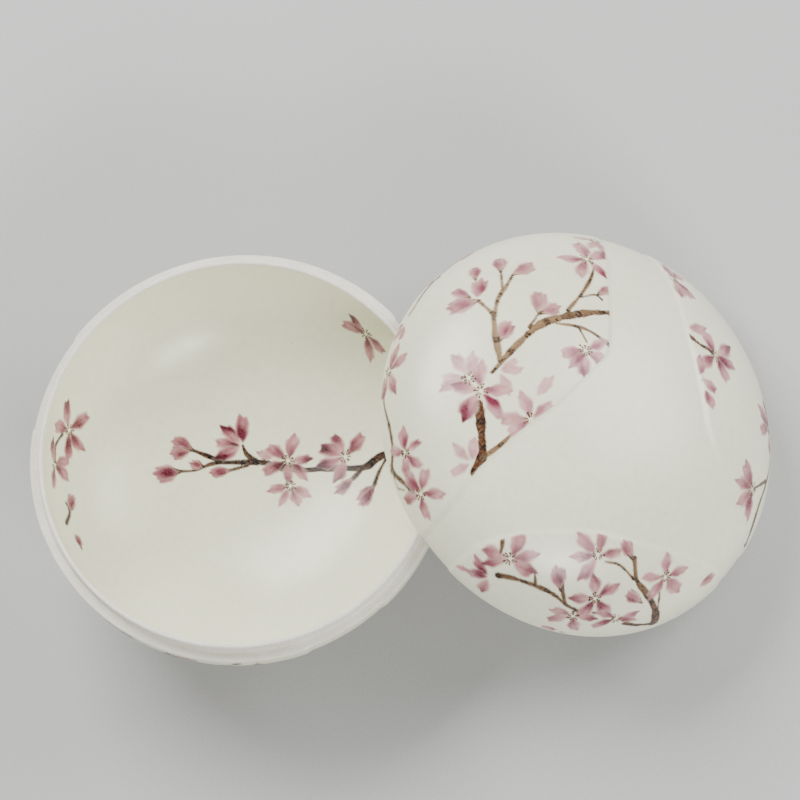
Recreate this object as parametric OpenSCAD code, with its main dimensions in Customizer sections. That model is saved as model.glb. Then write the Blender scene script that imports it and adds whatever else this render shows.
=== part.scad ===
// Covered rice bowl: a foot-ringed round bowl and its domed lid.
// The bowl stands upright at the origin. The lid is off, and leans on the bowl's lip.

/* [Set] */
// Outer diameter of the bowl and of the lid where they meet
rim_d = 140; // [120:1:150]

/* [Bowl] */
// Height of the ledge that carries the lid, above the table
bowl_h = 50; // [44:1:56]
// Thickness of the bowl's wall and floor
bowl_wall = 4.6; // [3.5:0.1:5.5]
// How full the bowl's side is: 2 is an ellipse, more is squarer
bowl_fullness = 2.25; // [2:0.05:2.6]
// Outer diameter of the foot ring
foot_d = 62; // [52:1:68]
// Height of the hollow inside the foot ring
foot_h = 3.8; // [3:0.1:6]
// Width of the foot ring
foot_w = 3.6; // [2.8:0.1:5]

/* [Seat] */
// Height of the lip above the ledge
lip_h = 5; // [3.5:0.1:6]
// Thickness of the lip
lip_t = 1.7; // [1.4:0.1:2.2]
// Width of the unglazed ledge around the lip
ledge_w = 3.4; // [3:0.1:4]
// Gap between the lip and the lid's socket, all round
socket_gap = 0.4; // [0.3:0.05:0.6]

/* [Lid] */
// Height of the dome above the lid's rim
lid_h = 41; // [34:1:48]
// Thickness of the dome
lid_wall = 3.4; // [2.8:0.1:4]
// How full the dome is: 2 is an ellipse, more is squarer
lid_fullness = 2.12; // [2:0.02:2.4]

/* [Leaning lid] */
// Distance along X from the bowl's axis to the centre of the lid's rim
lid_offset = 111; // [104:1:118]
// Clearance between the leaning lid and the lip
lean_gap = 0.5; // [0.3:0.1:1]

/* [Hidden] */

rim_r = rim_d / 2;
foot_r = foot_d / 2;
lip_r = rim_r - ledge_w;
inner_r = lip_r - lip_t;
lip_top = bowl_h + lip_h;
edge = 0.6;
curve_steps = 28;

// The dome's rim is turned down until it meets the table, with its inner edge
// above the lip where the two rims cross.
function crossing_run(t) = rim_r * cos(t) + lid_offset - lid_offset / (1 + cos(t));
function lean(t, steps) =
    steps == 0 ? t : lean(atan((lip_top + lean_gap) / crossing_run(t)), steps - 1);
lid_lean = lean(25, 12);
lid_rise = (rim_r - edge) * sin(lid_lean) + edge * (1 - cos(lid_lean));

// Quarter of a superellipse, from the rim (angle 0) towards the axis (angle 90)
function quarter(a, b, p, from, to) = [
    for (i = [0 : curve_steps])
        let (t = from + (to - from) * i / curve_steps)
        [a * pow(cos(t), 2 / p), b * pow(sin(t), 2 / p)]
];

// Angle at which the quarter curve has come in to radius r
function angle_at(a, p, r) = acos(pow(r / a, p / 2));

// Angle at which the quarter curve has risen to height h
function angle_up(b, p, h) = asin(pow(h / b, p / 2));

// Rounded corner about a centre, between two angles
function corner(x, y, r, from, to) = [
    for (i = [0 : 4]) let (a = from + (to - from) * i / 4) [x + r * cos(a), y + r * sin(a)]
];

// Half section of the bowl, with its foot ring, ledge and lip
module bowl_section() {
    depth = bowl_h - foot_h;
    inner_depth = depth - bowl_wall;
    outside = quarter(rim_r, depth, bowl_fullness, 4, angle_at(rim_r, bowl_fullness, foot_r));
    inside = quarter(inner_r, inner_depth, bowl_fullness, 90, 0);
    half_lip = lip_t / 2;
    polygon(concat(
        [for (p = outside) [p[0], bowl_h - p[1]]],
        corner(foot_r - edge, edge, edge, 0, -90),
        corner(foot_r - foot_w + edge, edge, edge, -90, -180),
        [[foot_r - foot_w - 1, foot_h], [0, foot_h]],
        [for (p = inside) [p[0], bowl_h - p[1]]],
        corner(inner_r + half_lip, lip_top - half_lip, half_lip, 180, 0),
        corner(lip_r + edge, bowl_h + edge, edge, 180, 270),
        corner(rim_r - edge, bowl_h - edge, edge, 90, 0)
    ));
}

// Half section of the lid, rim down, with the socket that drops over the lip
module lid_section() {
    socket_r = lip_r + socket_gap;
    socket_h = lip_h + 0.6;
    inner_h = lid_h - lid_wall;
    dome_r = rim_r - lid_wall;
    outside = quarter(rim_r, lid_h, lid_fullness, 2, 90);
    inside = quarter(dome_r, inner_h, lid_fullness, 90, angle_up(inner_h, lid_fullness, socket_h));
    polygon(concat(
        corner(rim_r - edge, edge, edge, -90, 0),
        outside,
        inside,
        [[socket_r, socket_h]],
        corner(socket_r + edge, edge, edge, 180, 270)
    ));
}

// Deep round bowl on a foot ring
module bowl() {
    color("ivory")
    rotate_extrude($fn = 180)
    bowl_section();
}

// Domed lid, leaning on the lip with its far edge on the table
module lid() {
    color("mistyrose")
    translate([lid_offset, 0, lid_rise])
    rotate([0, lid_lean, 0])
    rotate_extrude($fn = 180)
    lid_section();
}

bowl();
lid();
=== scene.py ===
import math
import random
from functools import cache

import bpy
import numpy as np
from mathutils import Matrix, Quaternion, Vector


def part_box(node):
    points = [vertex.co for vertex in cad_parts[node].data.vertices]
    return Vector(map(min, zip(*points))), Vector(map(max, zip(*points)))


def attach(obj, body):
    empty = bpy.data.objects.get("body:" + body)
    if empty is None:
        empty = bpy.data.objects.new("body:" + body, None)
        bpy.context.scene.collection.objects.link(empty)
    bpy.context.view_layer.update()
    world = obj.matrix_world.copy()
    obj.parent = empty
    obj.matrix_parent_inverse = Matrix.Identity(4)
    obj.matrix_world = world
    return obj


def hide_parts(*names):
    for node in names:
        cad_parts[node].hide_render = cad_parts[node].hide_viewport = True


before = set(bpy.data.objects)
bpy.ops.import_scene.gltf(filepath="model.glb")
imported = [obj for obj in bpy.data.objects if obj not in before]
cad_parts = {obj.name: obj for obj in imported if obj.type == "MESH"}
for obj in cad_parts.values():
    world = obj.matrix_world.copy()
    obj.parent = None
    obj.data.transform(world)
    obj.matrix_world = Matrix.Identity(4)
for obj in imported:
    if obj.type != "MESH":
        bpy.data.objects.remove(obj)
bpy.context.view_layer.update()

MM = 0.001

# ---------------------------------------------------------------- sizes, in millimetres
# Bowl and lid are turned shapes. The bowl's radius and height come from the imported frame, and the
# other sizes are the ones in part.scad.
bowl_lo, bowl_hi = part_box("bowl")

RIM_R = round((bowl_hi[0] - bowl_lo[0]) / 2 / MM, 1)
LIP_H = 5.0
LIP_T = 1.7
LEDGE_W = 3.4
BOWL_H = round(bowl_hi[2] / MM, 1) - LIP_H    # up to the ledge
BOWL_WALL = 4.6                               # thickness of the floor
BOWL_POWER = 2.25                             # superellipse power of the wall's curve
FOOT_R = 31.0
FOOT_W = 3.6
FOOT_H = 3.8
LID_H = 41.0
LID_WALL = 3.4
LID_POWER = 2.12
SOCKET_GAP = 0.4                              # between the lip and the lid's socket, all round
SOCKET_H = LIP_H + 0.6
EDGE_R = 0.6                                  # rounding of the ledge, lid rim and foot edges
LID_OFFSET = 111.0                            # from the bowl's axis to the centre of the lid's rim
LEAN_GAP = 0.5                                # between the lip's top and the lid above it

LIP_R = RIM_R - LEDGE_W
INNER_R = LIP_R - LIP_T
LIP_TOP = BOWL_H + LIP_H
SOCKET_R = LIP_R + SOCKET_GAP

# The painted panels stand proud of the plain bands between them, with a soft step at their edges.
BAND_DEPTH = 0.55
BAND_EASE = 2.4
PAINT_EDGE = 0.5    # the painting stops this softly at a panel's edge

# The painting sits on the mesh's points, so the painted skins are meshed finely.
SEGMENTS = 900
RING_STEP = 0.45
HOLLOW_STEP = 1.5

FAR = 1e9


def lid_lean():
    """The lid's lean, in radians: its far edge is down, and its near edge clears the lip."""
    lean = 0.4
    for _ in range(12):
        run = RIM_R * math.cos(lean) + LID_OFFSET - LID_OFFSET / (1 + math.cos(lean))
        lean = math.atan((LIP_TOP + LEAN_GAP) / run)
    return lean


LEAN = lid_lean()
LID_RISE = (RIM_R - EDGE_R) * math.sin(LEAN) + EDGE_R * (1 - math.cos(LEAN))


def stand_upright(points):
    """The bowl stands at the origin, so its points stay where they are."""
    return points


def lean_over(points):
    """From the lid's own frame, rim down at the origin, to where it leans."""
    x, y, z = points.T
    c, s = math.cos(LEAN), math.sin(LEAN)
    return np.stack([LID_OFFSET + x * c + z * s, y, LID_RISE - x * s + z * c], 1)


# ---------------------------------------------------------------- turned surfaces
class Skin:
    """A superellipse of revolution about Z, open at `level`, that rises or hangs from it."""

    def __init__(self, radius, height, power, level, rising):
        self.radius, self.height, self.power, self.level = radius, height, power, level
        self.sign = 1 if rising else -1

    def at(self, x, y):
        r = min(math.hypot(x, y), self.radius * 0.999)
        rest = 1 - (r / self.radius) ** self.power
        return np.array([x, y, self.level + self.sign * self.height * rest ** (1 / self.power)])

    def on_wall(self, azimuth, z):
        """The point at an azimuth in degrees and a height."""
        rest = 1 - (abs(z - self.level) / self.height) ** self.power
        r = self.radius * rest ** (1 / self.power)
        a = math.radians(azimuth)
        return np.array([r * math.cos(a), r * math.sin(a), z])

    def slope(self, p):
        """Gradient of the implicit surface, which points away from its hollow."""
        p = np.atleast_2d(p)
        r = np.maximum(np.hypot(p[:, 0], p[:, 1]), 1e-6)
        h = np.maximum((p[:, 2] - self.level) * self.sign, 1e-6)
        n = self.power
        radial = n * (r / self.radius) ** (n - 1) / self.radius
        along = n * (h / self.height) ** (n - 1) / self.height * self.sign
        return np.stack([radial * p[:, 0] / r, radial * p[:, 1] / r, along], 1)

    def normal(self, p):
        g = self.slope(p)
        return g / np.linalg.norm(g, axis=1)[:, None]

    def settle(self, p):
        """Brings points near the surface onto it."""
        p = np.atleast_2d(p).astype(float)
        for _ in range(4):
            r = np.hypot(p[:, 0], p[:, 1])
            h = np.maximum((p[:, 2] - self.level) * self.sign, 1e-6)
            gap = (r / self.radius) ** self.power + (h / self.height) ** self.power - 1
            g = self.slope(p)
            p = p - g * (gap / (g * g).sum(1))[:, None]
        return p

    def tangents(self, p, heading=(1.0, 0.0, 0.0)):
        """Two unit vectors along the surface at p, the first nearest to `heading`."""
        n = self.normal(p)[0]
        first = np.array(heading) - n * np.dot(heading, n)
        if np.linalg.norm(first) < 0.2:
            first = np.array([0.0, 1.0, 0.0]) - n * n[1]
        first /= np.linalg.norm(first)
        return first, np.cross(n, first), n


LID_SKIN = Skin(RIM_R, LID_H, LID_POWER, 0.0, True)
BOWL_SKIN = Skin(RIM_R, BOWL_H - FOOT_H, BOWL_POWER, BOWL_H, False)
WELL_SKIN = Skin(INNER_R, BOWL_H - FOOT_H - BOWL_WALL, BOWL_POWER, BOWL_H, False)


# ---------------------------------------------------------------- relief of the panels
# Outlines of the lid's three raised panels, seen from above its crown. Each runs out past the rim.
LARGE_PANEL = ((14, 90), (10, 65), (7, 56), (2, 40), (-3, 18), (-5, 14), (-25, -3), (-37, -11),
               (-49, -21), (-55, -29), (-61, -38), (-80, -62), (-110, 20), (-60, 95))
RIGHT_PANEL = ((27, 90), (29, 52), (29, 25), (30, 8), (31, -7), (33, -15), (38, -24), (45, -37),
               (52, -43), (78, -56), (110, 20), (60, 95))
FRONT_PANEL = ((-78, -66), (-53, -49), (-48, -44), (-34, -42), (-14, -43), (5, -47), (31, -51),
               (46, -54), (70, -64), (60, -110), (-60, -110))
LID_PANELS = (LARGE_PANEL, RIGHT_PANEL, FRONT_PANEL)

# The plain bands on the bowl's side, as first and last azimuth in degrees at the rim. Below
# BAND_FOOT they close at BAND_CLOSE millimetres for each millimetre down.
BOWL_BANDS = ((-76, -52), (138, 166), (14, 36))
BAND_FOOT = 14
BAND_CLOSE = 1.5


def polygon_depth(x, y, outline):
    """Signed distance inside an outline: positive inside."""
    nearest = np.full(x.shape, FAR)
    inside = np.zeros(x.shape, bool)
    for (ax, ay), (bx, by) in zip(outline, outline[1:] + outline[:1]):
        ex, ey = bx - ax, by - ay
        t = np.clip(((x - ax) * ex + (y - ay) * ey) / (ex * ex + ey * ey), 0, 1)
        nearest = np.minimum(nearest, np.hypot(x - ax - t * ex, y - ay - t * ey))
        crosses = (ay > y) != (by > y)
        side = x < ex * (y - ay) / (ey if ey else 1e-9) + ax
        inside ^= crosses & side
    return np.where(inside, nearest, -nearest)


def ease(t):
    t = np.clip(t, 0, 1)
    return t * t * (3 - 2 * t)


def lid_panel_depth(p):
    """How far inside a raised panel each point of the lid is, in millimetres."""
    return np.maximum.reduce([polygon_depth(p[:, 0], p[:, 1], outline) for outline in LID_PANELS])


def bowl_panel_depth(p):
    """The same for the bowl's side, where the bands run down from the rim and close by the foot."""
    azimuth = np.degrees(np.arctan2(p[:, 1], p[:, 0]))
    r = np.hypot(p[:, 0], p[:, 1])
    depth = np.full(len(p), FAR)
    for first, last in BOWL_BANDS:
        middle, half = (first + last) / 2, (last - first) / 2
        off = np.abs((azimuth - middle + 180) % 360 - 180) - half
        depth = np.minimum(depth, np.radians(off) * r)
    return depth + np.maximum(0, BAND_FOOT - p[:, 2]) * BAND_CLOSE


# ---------------------------------------------------------------- painting
# Each pigment is the share of light it lets back from the glaze under it.
ROSE_DEEP = np.array([0.40, 0.13, 0.25])
ROSE = np.array([0.60, 0.27, 0.40])
ROSE_PALE = np.array([0.80, 0.50, 0.61])
MAUVE = np.array([0.56, 0.42, 0.41])
OCHRE = np.array([0.62, 0.38, 0.16])
BARK = np.array([0.20, 0.085, 0.04])
BARK_PALE = np.array([0.44, 0.29, 0.19])
BARK_DARK = np.array([0.12, 0.07, 0.05])


class Canvas:
    """The painted points of one surface: what the enamel lets through, and how thick it is.

    `mask` is 1 where paint may lie. The strokes' random draws start from `seed`."""

    def __init__(self, skin, points, mask, seed):
        self.skin, self.points, self.mask = skin, points, mask
        self.light = np.ones((len(points), 3))
        self.film = np.zeros(len(points))
        self.dice = random.Random(seed)
        self.hairs = []
        self.load = 1.0

    def near(self, centre, reach):
        gap = self.points - centre
        return np.nonzero((gap * gap).sum(1) < reach * reach)[0]

    def lay(self, index, colour, amount):
        """Adds a pigment. A fuller brush, `load`, lets less light back."""
        amount = np.clip(amount * self.mask[index], 0, 1)
        self.light[index] *= 1 - amount[:, None] * (1 - colour ** self.load)
        self.film[index] = np.maximum(self.film[index], amount)

    def clear(self, index, amount):
        """Opaque enamel hides what was painted under it."""
        amount = (amount * self.mask[index])[:, None]
        self.light[index] = self.light[index] * (1 - amount) + amount

    def grain(self, index, scale, shift):
        """Soft noise along the surface, from 0 to 1."""
        p = self.points[index] * scale + shift
        a = np.sin(p[:, 0] * 1.7 + 2.1 * np.sin(p[:, 1] * 1.3 + shift))
        b = np.sin(p[:, 1] * 2.3 + 1.7 * np.sin(p[:, 2] * 1.9 + p[:, 0]))
        return (a + b + 2) / 4

    def petal(self, root, t1, t2, angle, long, wide, deep, press):
        """One brushed petal: blunt and ragged at its tip, densest where the brush was pressed.

        `u` runs from root to tip and `v` across, and `press` is where on `u` the colour pools."""
        dice = self.dice
        ca, sa = math.cos(angle), math.sin(angle)
        axis = t1 * ca + t2 * sa
        side = t2 * ca - t1 * sa
        index = self.near(root + axis * long / 2, long * 0.75)
        if not len(index):
            return
        # Bending u and v gives a ragged tip and uneven sides.
        d = self.points[index] - root
        v = d @ side / wide
        u = d @ axis / long * (1 + 0.07 * np.sin(v * 13 + dice.uniform(0, 6)))
        v = v + dice.uniform(-0.14, 0.14) * np.sin(u * 3)
        # `edge` is above 0 inside the outline, and `cover` fades in over a soft margin.
        body = np.sin(np.pi * np.clip(u, 0, 1) ** dice.uniform(1.1, 1.4)) ** 0.62
        edge = body * (1 + 0.06 * np.sin(u * 15 + dice.uniform(0, 6))) - np.abs(v) * 2
        soft = dice.uniform(0.34, 0.56)
        cover = ease(edge / soft) * ((u > 0) & (u < 1))
        # Where the brush pressed, its dry tail at the tip, the dark rim, bristle streaks and pools.
        lean = dice.uniform(-0.24, 0.24)
        touch = np.exp(-((u - press) / 0.34) ** 2 - ((v - lean) / 0.36) ** 2)
        tail = np.exp(-((u - 0.93) / 0.12) ** 2)
        rim = np.exp(-(edge / 0.20) ** 2)
        waves = v * dice.uniform(13, 19) + 1.5 * np.sin(u * 5)
        streak = 0.5 + 0.5 * np.sin(waves + dice.uniform(0, 6))
        pool = self.grain(index, 0.6, dice.uniform(0, 9))
        dusk = dice.uniform(0.25, 1.15)
        self.clear(index, cover * 0.85)
        self.lay(index, ROSE_PALE, cover * (0.72 + 0.12 * streak + 0.30 * pool))
        self.lay(index, MAUVE, cover * (0.14 + 0.62 * tail + 0.34 * rim) * dusk)
        self.lay(index, ROSE, cover * deep * (0.42 + 0.58 * touch) * (0.62 + 0.38 * streak))
        self.lay(index, ROSE_DEEP, cover * deep * np.clip(touch * 1.25 - 0.1, 0, 1))

    def bloom(self, centre, size, lies, deep=0.8, hairs=True, heading=(1.0, 0.0, 0.0)):
        """An open blossom. `lies` are its petals' directions in degrees from the heading."""
        dice = self.dice
        t1, t2, _ = self.skin.tangents(centre, heading)
        for lie in lies:
            a = math.radians(lie + dice.uniform(-3, 3))
            long = size * dice.uniform(0.90, 1.10)
            wide = long * dice.uniform(0.50, 0.68)
            root = centre + (t1 * math.cos(a) + t2 * math.sin(a)) * size * 0.06
            press = dice.choice((0.2, 0.3, 0.35, 0.8))
            self.petal(root, t1, t2, a, long, wide, deep * dice.uniform(0.6, 1.25), press)
        if hairs:
            self.stamens(centre, t1, t2, size)

    def flower(self, at, size, lies, deep=0.8, hairs=True):
        """A blossom at a place on the plan."""
        self.bloom(self.skin.at(*at), size, lies, deep, hairs)

    def stamens(self, centre, t1, t2, size):
        """A pale heart ringed with ochre. The dark strokes are noted, for the raised line work."""
        dice = self.dice
        index = self.near(centre, size * 0.42)
        reach = np.linalg.norm(self.points[index] - centre, axis=1) / size
        self.clear(index, 0.75 * np.exp(-(reach / 0.09) ** 2))
        ring = np.exp(-((reach - 0.16) / 0.06) ** 2)
        self.lay(index, OCHRE, ring * 0.75 * self.grain(index, 1.8, dice.uniform(0, 9)))
        first = dice.uniform(0, 360)
        turn = 37
        for k in range(dice.randint(8, 11)):
            a = math.radians(first + k * turn + dice.uniform(-14, 14))
            way = (t1 * math.cos(a) + t2 * math.sin(a)) * size
            self.hairs.append((centre + way * 0.07, centre + way * dice.uniform(0.15, 0.27)))

    def bud(self, at, size, lie, deep=0.8, calyx=True):
        """A closed bud of three petals in its brown calyx, pointing along `lie`, in degrees."""
        foot = self.skin.at(*at)
        t1, t2, _ = self.skin.tangents(foot)
        a = math.radians(lie)
        for open_by, press in ((0.22, 0.3), (-0.22, 0.7)):
            self.petal(foot, t1, t2, a + open_by, size * 0.9, size * 0.46, deep * 0.8, press)
        self.petal(foot, t1, t2, a, size, size * 0.58, deep, 0.45)
        if calyx:
            way = (t1 * math.cos(a) + t2 * math.sin(a)) * size
            side = (t2 * math.cos(a) - t1 * math.sin(a)) * size
            for hand in (-1, 1):
                line = [foot - way * 0.06, foot + way * 0.10 + side * hand * 0.07,
                        foot + way * 0.26 + side * hand * 0.17]
                self.stroke(line, 0.55, 0.22, (0.8, 0.5))

    def branch(self, route, start, end, dark):
        """A branch through places on the plan."""
        self.stroke([self.skin.at(*at) for at in smooth_route(route)], start, end, dark)

    def stroke(self, line, start, end, dark):
        """A brown stroke along points of the surface.

        `start` and `end` are its half widths there, and `dark` its depth of colour at both."""
        dice = self.dice
        line = self.skin.settle(np.array(line))
        middle = line.mean(0)
        index = self.near(middle, np.linalg.norm(line - middle, axis=1).max() + start + 2)
        if not len(index):
            return
        # For each point: how far it is from the line, how far along, and how far to one side.
        p = self.points[index]
        best = np.full(len(p), FAR)
        along = np.zeros(len(p))
        side = np.zeros(len(p))
        lengths = np.linalg.norm(np.diff(line, axis=0), axis=1)
        total = max(lengths.sum(), 1e-6)
        done = 0.0
        for a, b, length in zip(line[:-1], line[1:], lengths):
            e = (b - a) / max(length, 1e-6)
            t = np.clip((p - a) @ e, 0, length)
            gap = p - a - t[:, None] * e
            far = np.linalg.norm(gap, axis=1)
            closer = far < best
            best = np.where(closer, far, best)
            along = np.where(closer, (done + t) / total, along)
            across = np.cross(self.skin.normal((a + b) / 2)[0], e)
            side = np.where(closer, gap @ across, side)
            done += length
        # The stroke swells at its knots, and is darker at its edges, on one side and in blotches.
        phase = dice.uniform(0, 6)
        run = along * total
        swell = 0.15 * np.sin(run * 0.42 + phase) + 0.06 * np.sin(run * 1.2 + 2 * phase)
        width = (start + (end - start) * along) * (1 + swell)
        cover = ease((width - best) / 0.4)
        rim = ease((best - width * 0.45) / (width * 0.5 + 0.01))
        grain = self.grain(index, 1.9, phase)
        knots = np.sin(run * 0.42 + phase) * np.sin(run * 1.1 + 1.3 * phase)
        blotch = ease((knots + 0.5 * grain - 0.36) / 0.4)
        shade = ease(0.5 + side / (width + 0.01))
        depth = dark[0] + (dark[1] - dark[0]) * along
        self.clear(index, cover * 0.5)
        self.lay(index, BARK_PALE, cover * 0.96)
        body = depth * (0.62 + 0.5 * grain) + 0.16 * shade + 0.28 * rim
        self.lay(index, BARK, cover * np.clip(body, 0, 1))
        self.lay(index, BARK_DARK, cover * np.clip(0.75 * blotch * (0.45 + grain), 0, 1))


def smooth_route(route, step=1.5):
    """Points every `step` or so along a Catmull-Rom curve through the route's places."""
    pts = np.array(route, float)
    pts = np.vstack([2 * pts[0] - pts[1], pts, 2 * pts[-1] - pts[-2]])
    out = []
    for a, b, c, d in zip(pts, pts[1:], pts[2:], pts[3:]):
        count = max(2, int(np.linalg.norm(c - b) / step))
        for t in np.linspace(0, 1, count, endpoint=False):
            out.append(0.5 * (2 * b + (c - a) * t + (2 * a - 5 * b + 4 * c - d) * t ** 2
                              + (3 * b - a - 3 * c + d) * t ** 3))
    out.append(pts[-2])
    return out


# Places are millimetres from the piece's own axis, seen from above. `load` is how full the brush is.
def paint_lid_large_panel(c):
    """The main spray: a forked branch from the right, a short trunk and its blossoms."""
    c.load = 1.05
    c.flower((-41, 10), 8.0, (0, 32, -72), deep=0.15, hairs=False)
    c.flower((-31, 0), 10.0, (45,), deep=0.15, hairs=False)
    c.flower((-51, -19), 8.2, (130, 90, -150), deep=0.25, hairs=False)
    c.branch([(-15, 29), (-25, 26), (-34, 19), (-40, 13), (-43, 10)], 1.75, 0.95, (0.4, 0.45))
    c.branch([(6, 29), (0, 30), (-8, 30), (-17, 28.5)], 1.05, 1.6, (0.95, 0.5))
    c.branch([(-40, 14), (-40, 22), (-39, 31)], 1.4, 1.1, (0.35, 0.2))
    c.branch([(-39, 30), (-36, 37), (-32, 42), (-29, 46)], 1.1, 0.75, (0.2, 0.2))
    c.branch([(-34, 40), (-32, 48)], 0.6, 0.5, (0.4, 0.5))
    c.branch([(-39, 31), (-42, 37)], 1.1, 0.75, (0.2, 0.25))
    c.branch([(-29, 25), (-25, 30)], 0.7, 0.5, (0.4, 0.5))
    c.branch([(-15, 31), (-9, 37), (-4, 43), (-1, 48)], 0.85, 0.75, (0.5, 0.8))
    c.branch([(-9, 36), (-4, 37), (-2, 35)], 0.6, 0.5, (0.6, 0.7))
    c.branch([(-20, 26), (-14, 25), (-9, 23), (-3, 18)], 0.65, 0.85, (0.3, 0.9))
    c.branch([(-13, 25), (-11, 19)], 0.55, 0.45, (0.4, 0.5))
    c.branch([(-48, 0), (-48, -11), (-48, -17), (-50, -22)], 1.6, 1.7, (1.0, 1.0))
    c.branch([(-48, -18), (-42, -14), (-39, -11)], 1.1, 0.7, (0.5, 0.4))
    c.flower((-50, 9), 9.6, (166, -168, 75, 115), deep=0.5)
    c.flower((-47, 4), 10.3, (80, -5, -65, -125, 160), deep=1.0)
    c.flower((-33, -7), 9.2, (110, 30, 175, -145), deep=0.65)
    c.flower((-12, 16), 9.2, (-170, -100, -25, 30, -142), deep=0.75)
    c.flower((-2, 52), 9.4, (90, 170, -120, -65, 35), deep=0.8)
    c.flower((6, 62), 8.0, (165, -130, -90), deep=0.4)
    c.bud((-25, 30), 9.6, 78, deep=0.4)
    c.bud((-24, 30), 7.4, 20, deep=0.5)
    c.bud((-42, 37), 11.0, 176, deep=0.6)
    c.bud((-42, 38), 9.4, 66, deep=0.8, calyx=False)
    c.bud((-44, 39), 7.6, 125, deep=0.7)
    c.bud((-40, 46), 7.4, 78, deep=0.7)
    c.bud((-32, 48), 8.0, 75, deep=0.6)
    c.bud((-29, 46), 9.4, 25, deep=0.5)
    c.bud((-39, 21), 8.6, 55, deep=0.7)
    c.bud((-3, 37), 6.6, 30, deep=0.6)


def paint_lid_left_limb(c):
    """The same panel's left side, by the rim: a long limb with three blossoms."""
    c.load = 1.15
    c.branch([(-68, 17), (-69.5, 6), (-69, -8), (-68, -16), (-64, -25)], 0.6, 1.25, (0.5, 0.9))
    c.branch([(-69, -13), (-68, -19), (-66, -22)], 0.5, 0.5, (0.5, 0.5))
    c.flower((-67, 19), 9.4, (-35, 10, -120, -170), deep=0.6)
    c.flower((-67, -11), 7.6, (105, 180, -25, 35, -90), deep=0.7)
    c.flower((-63, -25), 9.0, (90, 15, -55, 150, -140), deep=0.75)


def paint_lid_right_panel(c):
    """Beside the crown: blossoms cut off by the panel's edge, and a limb along the right rim."""
    c.load = 1.2
    c.branch([(29, 24), (33, 21), (36, 20), (39, 18)], 1.05, 0.85, (0.8, 0.8))
    c.branch([(52, -42), (56, -30), (61, -21), (64, -14), (65, -8)], 1.25, 0.8, (0.8, 0.7))
    c.branch([(60, -21), (51, -26)], 0.8, 0.65, (0.6, 0.8))
    c.flower((31, 48), 9.4, (80, 35, -50, -85), deep=0.7)
    c.flower((29, 27), 9.4, (8,), deep=0.3, hairs=False)
    c.flower((39, 18), 10.0, (35, -15, -65, -140, 105), deep=0.85)
    c.flower((30, 16), 5.6, (-65,), deep=0.35, hairs=False)
    c.flower((30, 9), 7.4, (-35, 75), deep=0.45)
    c.flower((31, 5), 7.0, (-65,), deep=0.6, hairs=False)
    c.flower((63, 27), 9.4, (150, -110, -60, 60), deep=0.85)
    c.flower((64, -2), 9.4, (95, 145, -165, -95, 60), deep=0.85)
    c.flower((51, -26), 9.8, (160, -155, 110, -95), deep=0.75)


def paint_lid_front_panel(c):
    """In front of the crown: two limbs that lean together, and blossoms between them."""
    c.load = 1.35
    c.branch([(-40, -53), (-37, -54), (-32, -56), (-23, -60), (-18, -63), (-13, -65)],
             1.15, 0.75, (0.6, 0.6))
    c.branch([(-29, -57), (-30, -54)], 0.8, 0.6, (0.6, 0.7))
    c.branch([(-18, -63), (-20, -60), (-21, -57)], 1.0, 0.6, (0.5, 0.7))
    c.branch([(18, -67), (14, -64), (8, -60), (4, -57), (2, -51)], 1.7, 0.9, (0.8, 0.4))
    c.branch([(3, -57), (-3, -53), (-8, -52)], 0.75, 0.5, (0.4, 0.4))
    c.branch([(16, -65), (14, -60)], 0.7, 0.5, (0.5, 0.5))
    c.branch([(18, -67), (11, -68), (5, -68)], 1.2, 0.9, (0.8, 0.8))
    c.branch([(-3, -66), (-8, -65.5)], 0.8, 0.6, (0.9, 0.8))
    c.flower((-47, -50), 5.6, (-160,), deep=0.3, hairs=False)
    c.flower((-42, -53), 8.2, (140, -160, -95), deep=0.8, hairs=False)
    c.flower((-38, -49), 8.8, (85, 20, -22, -155, 170), deep=0.75)
    c.branch([(-41, -47), (-41, -44), (-42, -40)], 0.6, 1.2, (0.6, 0.6))
    c.flower((-11, -50), 9.4, (140, 85, -175, 10, -120), deep=0.6)
    c.flower((15, -56), 8.8, (90, 15, -35, -120, 175), deep=0.5)
    c.flower((-9, -62), 8.2, (110, 35, -175, -115, -40), deep=0.9)
    c.flower((-14, -66), 8.8, (175, -145, -65, 0), deep=0.65)
    c.flower((1, -67), 8.2, (20, -145, -10, 160), deep=0.75)
    c.flower((-15, -68.5), 6.0, (180, -30), deep=0.6, hairs=False)
    c.bud((-21, -59), 8.8, 110, deep=0.85)
    c.bud((1, -51), 7.6, 115, deep=0.55)
    c.bud((8, -63), 8.0, 145, deep=0.65)
    c.bud((31, -57), 7.6, 20, deep=0.5, calyx=False)


def paint_lid_back(c):
    """Behind the crown, out of the camera's sight, where two of the panels run down to the rim."""
    c.branch([(-58, 38.5), (-50, 48.5), (-38, 58.5), (-22, 66.5)], 0.7, 1.4, (0.5, 0.9))
    c.flower((-60, 35), 6.4, (110, 160, -150), deep=0.5, hairs=False)
    c.flower((-31, 62), 7.6, (30, 85, 140, 190), deep=0.7, hairs=False)
    c.bud((-46, 52), 6.4, 130, deep=0.6)
    c.branch([(67, 14), (61, 31.5), (53, 43.5), (44, 53)], 1.2, 0.6, (0.9, 0.6))
    c.flower((54, 42), 9.2, (15, 85, 160, -130, -55), deep=0.8)
    c.bud((44, 53), 8.0, 140)


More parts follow.
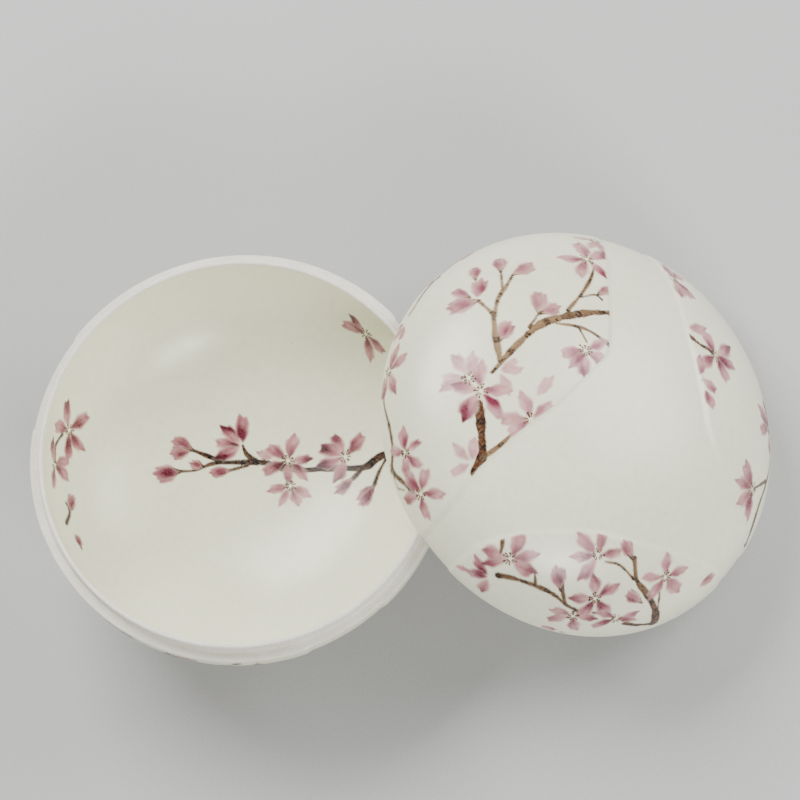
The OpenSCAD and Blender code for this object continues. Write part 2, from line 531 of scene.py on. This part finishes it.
def paint_well(c):
    """Inside the bowl: one long twig across the floor, and sprays on the wall."""
    c.load = 1.5
    c.branch([(60, 9), (52, 5), (44, 3), (39, 1), (28, 3), (18, 4), (11, 6)], 1.8, 1.05, (1.0, 1.0))
    c.branch([(12, 5), (6, 8), (1, 9), (-9, 10), (-11, 11), (-19, 15)], 1.35, 0.8, (1.0, 0.9))
    c.branch([(-2, 9), (-12, 10), (-19, 8), (-24, 8)], 0.95, 0.65, (0.9, 0.6))
    c.branch([(2, 9), (-1, 12), (-2, 15)], 1.2, 0.8, (0.9, 0.8))
    c.branch([(-1, 8), (-7, 7)], 0.85, 0.65, (0.8, 0.8))
    c.branch([(39, 1), (35, -2)], 1.1, 1.0, (0.9, 0.9))
    c.branch([(47, 2), (44, -2), (42, -6)], 0.9, 0.9, (0.9, 0.8))
    c.bud((-19, 15), 8.6, -150, deep=0.7)
    c.bud((-20, 15), 7.4, 172, deep=0.75)
    c.bud((-24, 8), 9.8, 175, deep=0.95)
    c.bud((-16, 9), 5.2, -160, deep=0.7)
    c.bud((-7, 7), 7.4, 176, deep=0.75)
    c.bloom(c.skin.at(-2, 15), 10.2, (-168, -135, -88, 165), deep=0.95, hairs=False)
    c.flower((8, 9), 5.8, (-150,), deep=0.1, hairs=False)
    c.flower((13, -1), 8.0, (175, 125, 65, 35, -95), deep=0.7)
    c.flower((13, 8), 9.2, (-65, 0, -140, 158, 55), deep=1.0)
    c.flower((33, 6), 9.8, (-115, -155, -45, 120, 175), deep=0.9)
    c.bud((35, -2), 8.4, 150, deep=0.9)
    c.bud((42, -6), 9.2, 135, deep=0.95)
    c.branch([(-60, 18), (-62, 14), (-63, 8)], 0.9, 0.8, (1.0, 1.0))
    c.flower((-63, 7), 8.4, (-5, 40, -95, 120), deep=0.75)
    c.flower((-58, 20), 9.8, (-90, -15, 60, 115, -155), deep=0.8)
    c.branch([(-61, -13), (-60, -8), (-61, -5)], 0.9, 0.7, (1.0, 0.9))
    c.bud((-60, -8), 7.4, -80, deep=0.75)
    c.bud((-57, -21), 5.4, -120, deep=0.9)
    c.flower((45, 42), 9.2, (-175, -125, 80, 30), deep=0.95)


def paint_bowl_side(c):
    """Outside the bowl: limbs with blossoms climb the panels.

    Places are degrees round and millimetres up."""
    c.load = 1.35

    def place(azimuth, z):
        return c.skin.on_wall(azimuth, z)

    def limb(route, start, end, dark=(0.9, 0.7)):
        c.stroke([place(turn, z) for turn, z in smooth_route(route)], start, end, dark)

    def blossom(azimuth, z, size, first, deep):
        """Five petals, the first of them `first` degrees from level."""
        a = math.radians(azimuth)
        lies = [first + 72 * k for k in range(5)]
        c.bloom(place(azimuth, z), size, lies, deep, True, (-math.sin(a), math.cos(a), 0))

    def spray(azimuth, way):
        """A limb that climbs to the right of `azimuth` if `way` is 1, or to its left if -1."""
        limb([(azimuth - 25 * way, 16), (azimuth - 12 * way, 25), (azimuth + 4 * way, 31),
              (azimuth + 22 * way, 40)], 1.5, 0.8)
        limb([(azimuth - 10 * way, 26), (azimuth - 3 * way, 36), (azimuth + 2 * way, 42)], 0.8, 0.5)
        blossom(azimuth - 6 * way, 38, 9.0, 20, 0.85)
        blossom(azimuth + 9 * way, 29, 8.6, 60, 0.75)
        blossom(azimuth + 21 * way, 39, 9.0, 40, 0.9)
        blossom(azimuth - 20 * way, 21, 7.6, 10, 0.6)

    limb([(-150, 49.2), (-141, 48.6), (-134, 46.5), (-127, 40)], 0.9, 1.3, (1.0, 1.0))
    limb([(-127, 40), (-114, 33), (-100, 27)], 1.3, 1.5, (0.9, 1.0))
    limb([(-112, 34), (-101, 41), (-92, 49.2)], 1.0, 0.9, (1.0, 1.0))
    blossom(-127, 45.6, 9.4, 35, 1.0)
    blossom(-114, 45, 9.4, 0, 1.0)
    blossom(-104, 33, 9.0, 60, 0.8)
    blossom(-90, 37, 8.4, 20, 0.7)
    spray(-166, -1)
    spray(-22, 1)
    spray(62, -1)
    spray(110, 1)


# ---------------------------------------------------------------- shells
def rounded(x, y, r, first, last, steps=6):
    """A rounded corner about (x, y) in the half section, between two angles in degrees."""
    angles = np.radians(np.linspace(first, last, steps))
    return [(x + r * math.cos(a), y + r * math.sin(a)) for a in angles]


def quarter(skin, first, last, step):
    """Points every `step` or so along a skin's half section, between two angles in degrees."""
    angles = np.radians(np.linspace(first, last, 600))
    r = skin.radius * np.maximum(np.cos(angles), 0) ** (2 / skin.power)
    z = skin.level + skin.sign * skin.height * np.sin(angles) ** (2 / skin.power)
    run = np.concatenate([[0], np.cumsum(np.hypot(np.diff(r), np.diff(z)))])
    marks = np.linspace(0, run[-1], max(3, int(run[-1] / step)))
    return list(zip(np.interp(marks, run, r), np.interp(marks, run, z)))


def angle_at(skin, r):
    """The angle for quarter() at which the skin's radius is `r`."""
    return math.degrees(math.acos((r / skin.radius) ** (skin.power / 2)))


def angle_up(skin, h):
    """The angle for quarter() at which the skin is `h` from its level."""
    return math.degrees(math.asin((h / skin.height) ** (skin.power / 2)))


def bowl_stretches():
    """The bowl's half section from the middle of its underside round to the middle of its floor."""
    foot_in = FOOT_R - FOOT_W
    lip_mid = INNER_R + LIP_T / 2
    half = LIP_T / 2
    cove = 1.2
    return [
        ("under", [(r, FOOT_H) for r in (0.0, 8, 16, 22, foot_in - 1.6)]
         + rounded(foot_in - cove, FOOT_H - cove, cove, 90, 0)[1:] + [(foot_in, 1.4)]),
        ("bare", rounded(foot_in + EDGE_R, EDGE_R, EDGE_R, 180, 270)
         + rounded(FOOT_R - EDGE_R, EDGE_R, EDGE_R, 270, 360)),
        ("side", [(FOOT_R, 1.6), (FOOT_R, 3.0), (FOOT_R, 4.6), (FOOT_R + 0.15, 6.2)]
         + quarter(BOWL_SKIN, angle_at(BOWL_SKIN, FOOT_R + 1.2), 4, RING_STEP)),
        ("bare", rounded(RIM_R - EDGE_R, BOWL_H - EDGE_R, EDGE_R, 0, 90)
         + [(RIM_R - 1.5, BOWL_H), (LIP_R + EDGE_R + 0.2, BOWL_H)]
         + rounded(LIP_R + EDGE_R, BOWL_H + EDGE_R, EDGE_R, 270, 180)
         + [(LIP_R, LIP_TOP - 2.4), (LIP_R, LIP_TOP - half)]
         + rounded(lip_mid, LIP_TOP - half, half, 0, 180, 11)[1:-2]),
        ("well", [(INNER_R, LIP_TOP - half), (INNER_R, LIP_TOP - 2.5), (INNER_R, BOWL_H + 1)]
         + quarter(WELL_SKIN, 0.5, 90, RING_STEP)),
    ]


def lid_stretches():
    """The lid's half section from its crown down the outside, round the rim and up the inside."""
    corner = 0.5
    hollow = Skin(RIM_R - LID_WALL, LID_H - LID_WALL, LID_POWER, 0.0, True)
    return [
        ("side", quarter(LID_SKIN, 90, 2, RING_STEP)),
        ("bare", rounded(RIM_R - EDGE_R, EDGE_R, EDGE_R, 0, -90)
         + rounded(SOCKET_R + EDGE_R, EDGE_R, EDGE_R, 270, 180) + [(SOCKET_R, 2.4)]),
        ("hollow", [(SOCKET_R, 3.4), (SOCKET_R, SOCKET_H - corner)]
         + rounded(SOCKET_R - corner, SOCKET_H - corner, corner, 0, 90)[1:]
         + quarter(hollow, angle_up(hollow, SOCKET_H + 0.2), 90, HOLLOW_STEP)),
    ]


def revolve(stretches):
    """Turns a half section into points and quads, and names each point's stretch."""
    closest = 0.02
    rings, names = [], []
    for name, line in stretches:
        for r, z in line:
            if rings and math.hypot(r - rings[-1][0], z - rings[-1][1]) < closest:
                continue
            rings.append((max(r, closest), z))
            names.append(name)
    rings = np.array(rings)
    angles = np.linspace(0, 2 * math.pi, SEGMENTS, endpoint=False)
    r, z = rings[:, :1], rings[:, 1:]
    points = np.stack([r * np.cos(angles), r * np.sin(angles), z + 0 * angles], 2).reshape(-1, 3)
    i = np.arange(len(rings) - 1)[:, None] * SEGMENTS
    j = np.arange(SEGMENTS)[None, :]
    k = (j + 1) % SEGMENTS
    quads = np.stack([i + j, i + k, i + k + SEGMENTS, i + j + SEGMENTS], 2).reshape(-1, 4)
    return points, quads, np.repeat(np.array(names), SEGMENTS)


def build_mesh(name, points, faces, materials, face_slots, attributes):
    """An object from arrays, in metres, with float and colour attributes on its points."""
    mesh = bpy.data.meshes.new(name)
    mesh.from_pydata((points * MM).tolist(), [], [tuple(face) for face in faces])
    for material in materials:
        mesh.materials.append(material)
    mesh.polygons.foreach_set("material_index", np.asarray(face_slots, np.int32))
    mesh.polygons.foreach_set("use_smooth", np.ones(len(faces), bool))
    for key, values in attributes.items():
        if values.ndim == 2:
            layer = mesh.attributes.new(key, "FLOAT_COLOR", "POINT")
            full = np.column_stack([values, np.ones(len(values))])
            layer.data.foreach_set("color", full.ravel().astype(np.float32))
        else:
            layer = mesh.attributes.new(key, "FLOAT", "POINT")
            layer.data.foreach_set("value", values.astype(np.float32))
    mesh.validate()
    mesh.update()
    piece = bpy.data.objects.new(name, mesh)
    bpy.context.scene.collection.objects.link(piece)
    return piece


def make_shell(name, body, stretches, skins, place, panel_depth, painters, seed):
    """One fired piece: relief, painting, glaze and bare clay, as a single closed mesh.

    `skins` holds the painted stretches of the half section, and `painters` what paints each."""
    points, quads, names = revolve(stretches)
    radius = np.hypot(points[:, 0], points[:, 1])
    light = np.ones((len(points), 3))
    film = np.zeros(len(points))
    canvases = []
    for stretch, skin in skins.items():
        own = np.nonzero(names == stretch)[0]
        inside = panel_depth(points[own]) if stretch == "side" else np.full(len(own), FAR)
        canvas = Canvas(skin, points[own], ease(inside / PAINT_EDGE), seed)
        for painter in painters[stretch]:
            painter(canvas)
        light[own], film[own] = canvas.light, canvas.film
        canvases.append(canvas)
    on_side = names == "side"
    # The plain bands are sunk into the wall. The ledge and the rim sink with the wall next to
    # them, and the lip doesn't.
    outside = np.nonzero(on_side | ((names == "bare") & (radius > LIP_R + 1.2)))[0]
    outward = points[outside] * np.array([1, 1, 0]) / np.maximum(radius[outside], 1e-6)[:, None]
    away = np.where(on_side[outside][:, None], skins["side"].normal(points[outside]), outward)
    sunk = 1 - ease(panel_depth(points[outside]) / BAND_EASE + 0.5)
    points[outside] -= away * (sunk * BAND_DEPTH)[:, None]
    # A point at either end of the half section closes the shell with a fan.
    total = len(points)
    ends = np.array([points[:SEGMENTS].mean(0), points[-SEGMENTS:].mean(0)])
    points = place(np.vstack([points, ends]))
    light = np.vstack([light, light[:1], light[-1:]])
    film = np.concatenate([film, film[:1], film[-1:]])
    j = np.arange(SEGMENTS)
    k = (j + 1) % SEGMENTS
    first_cap = np.stack([k, j, np.full(SEGMENTS, total)], 1)
    last_cap = np.stack([total - SEGMENTS + j, total - SEGMENTS + k, np.full(SEGMENTS, total + 1)], 1)
    faces = quads.tolist() + first_cap.tolist() + last_cap.tolist()
    bare = names[quads[:, 0]] == "bare"
    slots = np.concatenate([bare.astype(int), np.zeros(2 * SEGMENTS, int)])
    piece = build_mesh(name, points, faces, [glaze_material(), bare_material()], slots,
                       {"paint": light, "film": film})
    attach(piece, body)
    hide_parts(body)
    return canvases


# ---------------------------------------------------------------- fine line work
HAIR_WIDTHS = (0.14, 0.25, 0.21, 0.17, 0.12)    # half widths from the heart outwards
HAIR_RISE = 0.06
HAIR_SINK = 0.02    # how far its edges go into the glaze
DOT_RISE = 0.10
DOT_SIDES = 8


def make_hairs(name, body, canvases, place, panel_depth):
    """Stamens as raised strokes of dark enamel: a thin tapered ridge with a dot at its end."""
    points, faces = [], []
    for canvas in canvases:
        hollow = canvas.skin is WELL_SKIN
        for start, end in canvas.hairs:
            line = canvas.skin.settle(np.linspace(start, end, len(HAIR_WIDTHS)))
            if not hollow and (panel_depth(line).min() < 0.6 or off_the_rim(canvas.skin, line)):
                continue
            normal = canvas.skin.normal(line) * (-1 if hollow else 1)
            way = (end - start) / np.linalg.norm(end - start)
            side = np.cross(normal[0], way)
            base = len(points)
            for p, n, width in zip(line, normal, HAIR_WIDTHS):
                foot = p - n * HAIR_SINK
                points += [foot - side * width, p + n * HAIR_RISE, foot + side * width]
            for i in range(len(HAIR_WIDTHS) - 1):
                q = base + 3 * i
                faces += [(q, q + 3, q + 4, q + 1), (q + 1, q + 4, q + 5, q + 2)]
            base = len(points)
            radius = canvas.dice.uniform(0.30, 0.50)
            points.append(line[-1] + normal[-1] * DOT_RISE)
            for i in range(DOT_SIDES):
                a = math.tau * i / DOT_SIDES
                spoke = way * math.cos(a) + side * math.sin(a)
                points.append(line[-1] + spoke * radius - normal[-1] * HAIR_SINK)
            faces += [(base, base + 1 + i, base + 1 + (i + 1) % DOT_SIDES) for i in range(DOT_SIDES)]
    slots = np.zeros(len(faces), int)
    piece = build_mesh(name, place(np.array(points)), faces, [stamen_material()], slots, {})
    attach(piece, body)


def off_the_rim(skin, line):
    """True where a stroke comes within a millimetre of the open edge."""
    return (np.abs(line[:, 2] - skin.level) < 1.0).any()


# ---------------------------------------------------------------- materials
class Nodes:
    """Short ways to add and join shader nodes."""

    def __init__(self, name):
        self.material = bpy.data.materials.new(name)
        self.material.use_nodes = True
        self.tree = self.material.node_tree
        self.shader = self.tree.nodes["Principled BSDF"]
        self.place = self.add("ShaderNodeTexCoord").outputs["Object"]

    def add(self, kind, **settings):
        node = self.tree.nodes.new(kind)
        for key, value in settings.items():
            setattr(node, key, value)
        return node

    def join(self, source, target):
        self.tree.links.new(source, target)

    def noise(self, scale, detail):
        node = self.add("ShaderNodeTexNoise")
        node.inputs["Scale"].default_value = scale
        node.inputs["Detail"].default_value = detail
        self.join(self.place, node.inputs["Vector"])
        return node.outputs["Fac"]

    def ramp(self, source, *stops):
        """A colour for each place between 0 and 1."""
        node = self.add("ShaderNodeValToRGB")
        marks = node.color_ramp.elements
        while len(marks) < len(stops):
            marks.new(0.5)
        for mark, (where, colour) in zip(marks, stops):
            mark.position = where
            mark.color = (*colour, 1)
        self.join(source, node.inputs["Fac"])
        return node.outputs["Color"]

    def feed(self, value, socket):
        """Joins another node's output to a socket, or sets the socket to a plain value."""
        if hasattr(value, "is_output"):
            self.join(value, socket)
        else:
            socket.default_value = value

    def mix(self, how, share, one, two):
        node = self.add("ShaderNodeMix", data_type="RGBA", blend_type=how)
        colours = [i for i in node.inputs if i.type == "RGBA"]
        self.feed(share, node.inputs["Factor"])
        self.feed(one, colours[0])
        self.feed(two, colours[1])
        return [o for o in node.outputs if o.type == "RGBA"][0]

    def math(self, how, one, two):
        node = self.add("ShaderNodeMath", operation=how)
        self.feed(one, node.inputs[0])
        self.feed(two, node.inputs[1])
        return node.outputs[0]

    def spread(self, source, low, high, to_low, to_high):
        node = self.add("ShaderNodeMapRange")
        ends = {"From Min": low, "From Max": high, "To Min": to_low, "To Max": to_high}
        for key, value in ends.items():
            node.inputs[key].default_value = value
        self.join(source, node.inputs["Value"])
        return node.outputs["Result"]

    def attribute(self, name, output):
        return self.add("ShaderNodeAttribute", attribute_name=name).outputs[output]

    def bump(self, height, strength, distance, under=None):
        node = self.add("ShaderNodeBump")
        node.inputs["Strength"].default_value = strength
        node.inputs["Distance"].default_value = distance
        self.join(height, node.inputs["Height"])
        if under is not None:
            self.join(under, node.inputs["Normal"])
        return node.outputs["Normal"]

    def set(self, **values):
        for key, value in values.items():
            self.shader.inputs[key.replace("_", " ")].default_value = value


# Each material is made once and shared by every piece that asks for it.
@cache
def glaze_material():
    """Satin ivory glaze with the painting fused into it, a few pinholes and a thrown ripple."""
    m = Nodes("satin_glaze")
    tint = m.ramp(m.noise(22, 3), (0.35, (0.845, 0.845, 0.650)), (0.65, (0.880, 0.880, 0.692)))
    mottle = m.ramp(m.noise(420, 2), (0.40, (0.965, 0.965, 0.955)), (0.60, (1.0, 1.0, 1.0)))
    glaze = m.mix("MULTIPLY", 1.0, tint, mottle)
    pits = m.add("ShaderNodeTexVoronoi", feature="F1")
    pits.inputs["Scale"].default_value = 95
    m.join(m.place, pits.inputs["Vector"])
    pit = m.math("LESS_THAN", pits.outputs["Distance"], 0.022)
    glaze = m.mix("MIX", m.math("MULTIPLY", pit, 0.6), glaze, (0.30, 0.25, 0.19, 1))
    film = m.attribute("film", "Fac")
    painted = m.mix("MULTIPLY", 1.0, glaze, m.attribute("paint", "Color"))
    m.join(painted, m.shader.inputs["Base Color"])
    gloss = m.spread(m.noise(160, 3), 0.3, 0.7, 0.28, 0.34)
    enamel = m.spread(m.noise(1500, 2), 0.35, 0.65, 0.22, 0.42)
    clear = m.math("SUBTRACT", 1.0, film)
    rough = m.math("ADD", m.math("MULTIPLY", gloss, clear), m.math("MULTIPLY", enamel, film))
    m.join(rough, m.shader.inputs["Roughness"])
    ripple = m.bump(m.noise(55, 2), 0.10, 0.0012)
    peel = m.bump(m.noise(900, 2), 0.06, 0.0002, ripple)
    skin = m.bump(film, 0.5, 0.00008, peel)
    m.join(skin, m.shader.inputs["Normal"])
    m.set(Subsurface_Weight=0.12, Subsurface_Radius=(0.003, 0.0028, 0.0022), IOR=1.5)
    return m.material


@cache
def bare_material():
    """Fired clay wiped clean of glaze: matt, warm, faintly sandy."""
    m = Nodes("bare_clay")
    tone = m.ramp(m.noise(140, 4), (0.35, (0.860, 0.828, 0.728)), (0.65, (0.925, 0.902, 0.815)))
    grit = m.ramp(m.noise(2600, 2), (0.42, (0.86, 0.84, 0.81)), (0.56, (1.0, 1.0, 1.0)))
    m.join(m.mix("MULTIPLY", 1.0, tone, grit), m.shader.inputs["Base Color"])
    m.join(m.spread(m.noise(700, 3), 0.3, 0.7, 0.62, 0.85), m.shader.inputs["Roughness"])
    m.join(m.bump(m.noise(2600, 3), 0.35, 0.0002), m.shader.inputs["Normal"])
    return m.material


@cache
def stamen_material():
    """Dark line enamel, thick enough to shine, warmer where it thins."""
    m = Nodes("line_enamel")
    tone = m.ramp(m.noise(1400, 2), (0.38, (0.028, 0.016, 0.012)), (0.66, (0.16, 0.07, 0.025)))
    m.join(tone, m.shader.inputs["Base Color"])
    m.join(m.spread(m.noise(2200, 2), 0.3, 0.7, 0.18, 0.4), m.shader.inputs["Roughness"])
    return m.material


@cache
def floor_material():
    """Pale studio paper with a faint tooth."""
    m = Nodes("studio_paper")
    tone = m.ramp(m.noise(7, 2), (0.3, (0.47, 0.475, 0.48)), (0.7, (0.50, 0.505, 0.51)))
    fibre = m.ramp(m.noise(1100, 3), (0.40, (0.95, 0.95, 0.95)), (0.60, (1.0, 1.0, 1.0)))
    m.join(m.mix("MULTIPLY", 1.0, tone, fibre), m.shader.inputs["Base Color"])
    m.join(m.bump(m.noise(1100, 3), 0.15, 0.0002), m.shader.inputs["Normal"])
    m.set(Roughness=0.7)
    return m.material


# ---------------------------------------------------------------- studio
FLOOR_SIZE = 12.0
FLOOR_DROP = 0.0002    # the floor is just below the foot and the lid's edge


def make_floor():
    corners = np.array([(-1, -1, 0), (1, -1, 0), (1, 1, 0), (-1, 1, 0)]) * FLOOR_SIZE / 2 / MM
    floor = build_mesh("floor", corners, np.array([(0, 1, 2, 3)]), [floor_material()], [0], {})
    floor.location.z = -FLOOR_DROP


def make_light(name, place, aim, size, power, colour):
    lamp = bpy.data.lights.new(name, "AREA")
    lamp.shape = "RECTANGLE"
    lamp.size, lamp.size_y = size
    lamp.energy = power
    lamp.color = colour
    light = bpy.data.objects.new(name, lamp)
    light.location = place
    light.rotation_euler = (Vector(aim) - Vector(place)).to_track_quat("-Z", "Y").to_euler()
    bpy.context.scene.collection.objects.link(light)


def make_lights():
    """A big soft key behind on the left, a fill on the right, a strip in front and a dim world."""
    middle = (0.05, 0.0, 0.03)
    make_light("key_soft", (-0.36, 0.60, 0.78), middle, (0.7, 0.5), 17.5, (1.0, 0.985, 0.96))
    make_light("right_soft", (0.72, 0.22, 0.50), middle, (0.45, 0.45), 5.5, (1.0, 0.99, 0.975))
    make_light("front_strip", (0.30, -0.75, 0.55), middle, (0.42, 0.20), 7.0, (1.0, 0.99, 0.97))
    world = bpy.data.worlds.new("studio")
    world.use_nodes = True
    sky = world.node_tree.nodes["Background"]
    sky.inputs["Color"].default_value = (0.90, 0.90, 0.89, 1)
    sky.inputs["Strength"].default_value = 0.22
    bpy.context.scene.world = world


def make_camera():
    """High in front of the pair and slightly to its right, rolled a little, with a long lens."""
    azimuth, elevation, roll = math.radians(6.8), math.radians(73), math.radians(-12.9)
    distance, opening = 1.164, math.radians(13)
    sensor = 36
    target = Vector((0.0548, 0.0127, 0.050))
    back = Vector((math.sin(azimuth) * math.cos(elevation), -math.cos(azimuth) * math.cos(elevation),
                   math.sin(elevation)))
    data = bpy.data.cameras.new("camera")
    data.sensor_width = sensor
    data.lens = sensor / 2 / math.tan(opening / 2)
    data.clip_start, data.clip_end = 0.05, 20
    camera = bpy.data.objects.new("camera", data)
    camera.location = target + back * distance
    camera.rotation_mode = "QUATERNION"
    camera.rotation_quaternion = (-back).to_track_quat("-Z", "Y") @ Quaternion((0, 0, 1), roll)
    bpy.context.scene.collection.objects.link(camera)
    bpy.context.scene.camera = camera


# ---------------------------------------------------------------- the object
bowl_canvases = make_shell(
    "bowl_shell", "bowl", bowl_stretches(), {"side": BOWL_SKIN, "well": WELL_SKIN}, stand_upright,
    bowl_panel_depth, {"side": [paint_bowl_side], "well": [paint_well]}, seed=10)
lid_canvases = make_shell(
    "lid_shell", "lid", lid_stretches(), {"side": LID_SKIN}, lean_over, lid_panel_depth,
    {"side": [paint_lid_large_panel, paint_lid_left_limb, paint_lid_right_panel,
              paint_lid_front_panel, paint_lid_back]}, seed=9)
make_hairs("bowl_stamens", "bowl", bowl_canvases, stand_upright, bowl_panel_depth)
make_hairs("lid_stamens", "lid", lid_canvases, lean_over, lid_panel_depth)

make_floor()
make_lights()
make_camera()
